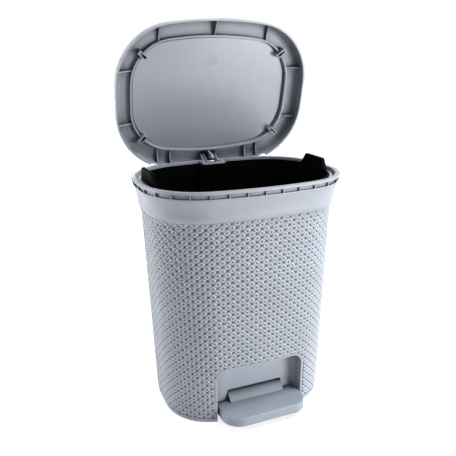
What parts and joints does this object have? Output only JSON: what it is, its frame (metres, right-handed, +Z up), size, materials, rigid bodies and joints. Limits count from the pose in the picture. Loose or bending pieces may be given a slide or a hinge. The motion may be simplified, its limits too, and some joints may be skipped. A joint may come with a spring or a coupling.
{
  "type": "pedal trash can",
  "caption": "Grey plastic step-on bin with a knit-look tapered body, a black inner bucket and a hinged lid that a foot pedal raises through a lever and push rod.",
  "frame": {"origin": "on the floor under the middle of the body", "axes": "+Z up, +X to the right of someone facing the pedal, -Y to the front where the pedal is"},
  "size_m": [0.3074, 0.2536, 0.5675],
  "materials": {
    "body_plastic": "satin moulded, knit look on the wall and plain at the rim",
    "lid_plastic": "satin moulded",
    "black_plastic": "satin moulded",
    "pedal_plastic": "satin moulded",
    "lever_plastic": "moulded, hidden",
    "steel": "drawn wire and rod",
    "clip_steel": "zinc plated"
  },
  "bodies": {
    "can": {"outer_body": "body_plastic", "bag_ring": "body_plastic", "inner_bucket": "black_plastic", "hinge_pin": "steel", "pedal_axle": "steel", "pivot_cap_left": "lever_plastic", "pivot_cap_right": "lever_plastic", "cap_screws": "clip_steel"},
    "lid": {"lid_frame": "lid_plastic", "lid_panel": "lid_plastic"},
    "rod": {"push_rod": "steel", "rod_top_clip": "clip_steel", "rod_bottom_clip": "clip_steel"},
    "pedal": {"pedal_tread": "pedal_plastic", "pedal_lever": "lever_plastic", "tread_screws": "clip_steel"}
  },
  "joints": [
    {"name": "lid_hinge", "type": "hinge", "parent": "can", "child": "lid", "pos_m": [0, 0.1065, 0.349], "axis": [1, 0, 0], "range_deg": [0, 77.46]},
    {"name": "pedal_pivot", "type": "hinge", "parent": "can", "child": "pedal", "pos_m": [0, -0.05, 0.0175], "axis": [1, 0, 0], "range_deg": [-7.07, 0]},
    {"name": "rod_pivot", "type": "hinge", "parent": "lid", "child": "rod", "pos_m": [0, 0.09636, 0.35713], "axis": [1, 0, 0], "range_deg": [-77.46, 0]}
  ],
  "couplings": [
    {"joint": "pedal_pivot", "follows": "lid_hinge", "ratio": -0.091211},
    {"joint": "rod_pivot", "follows": "lid_hinge", "ratio": -1}
  ]
}
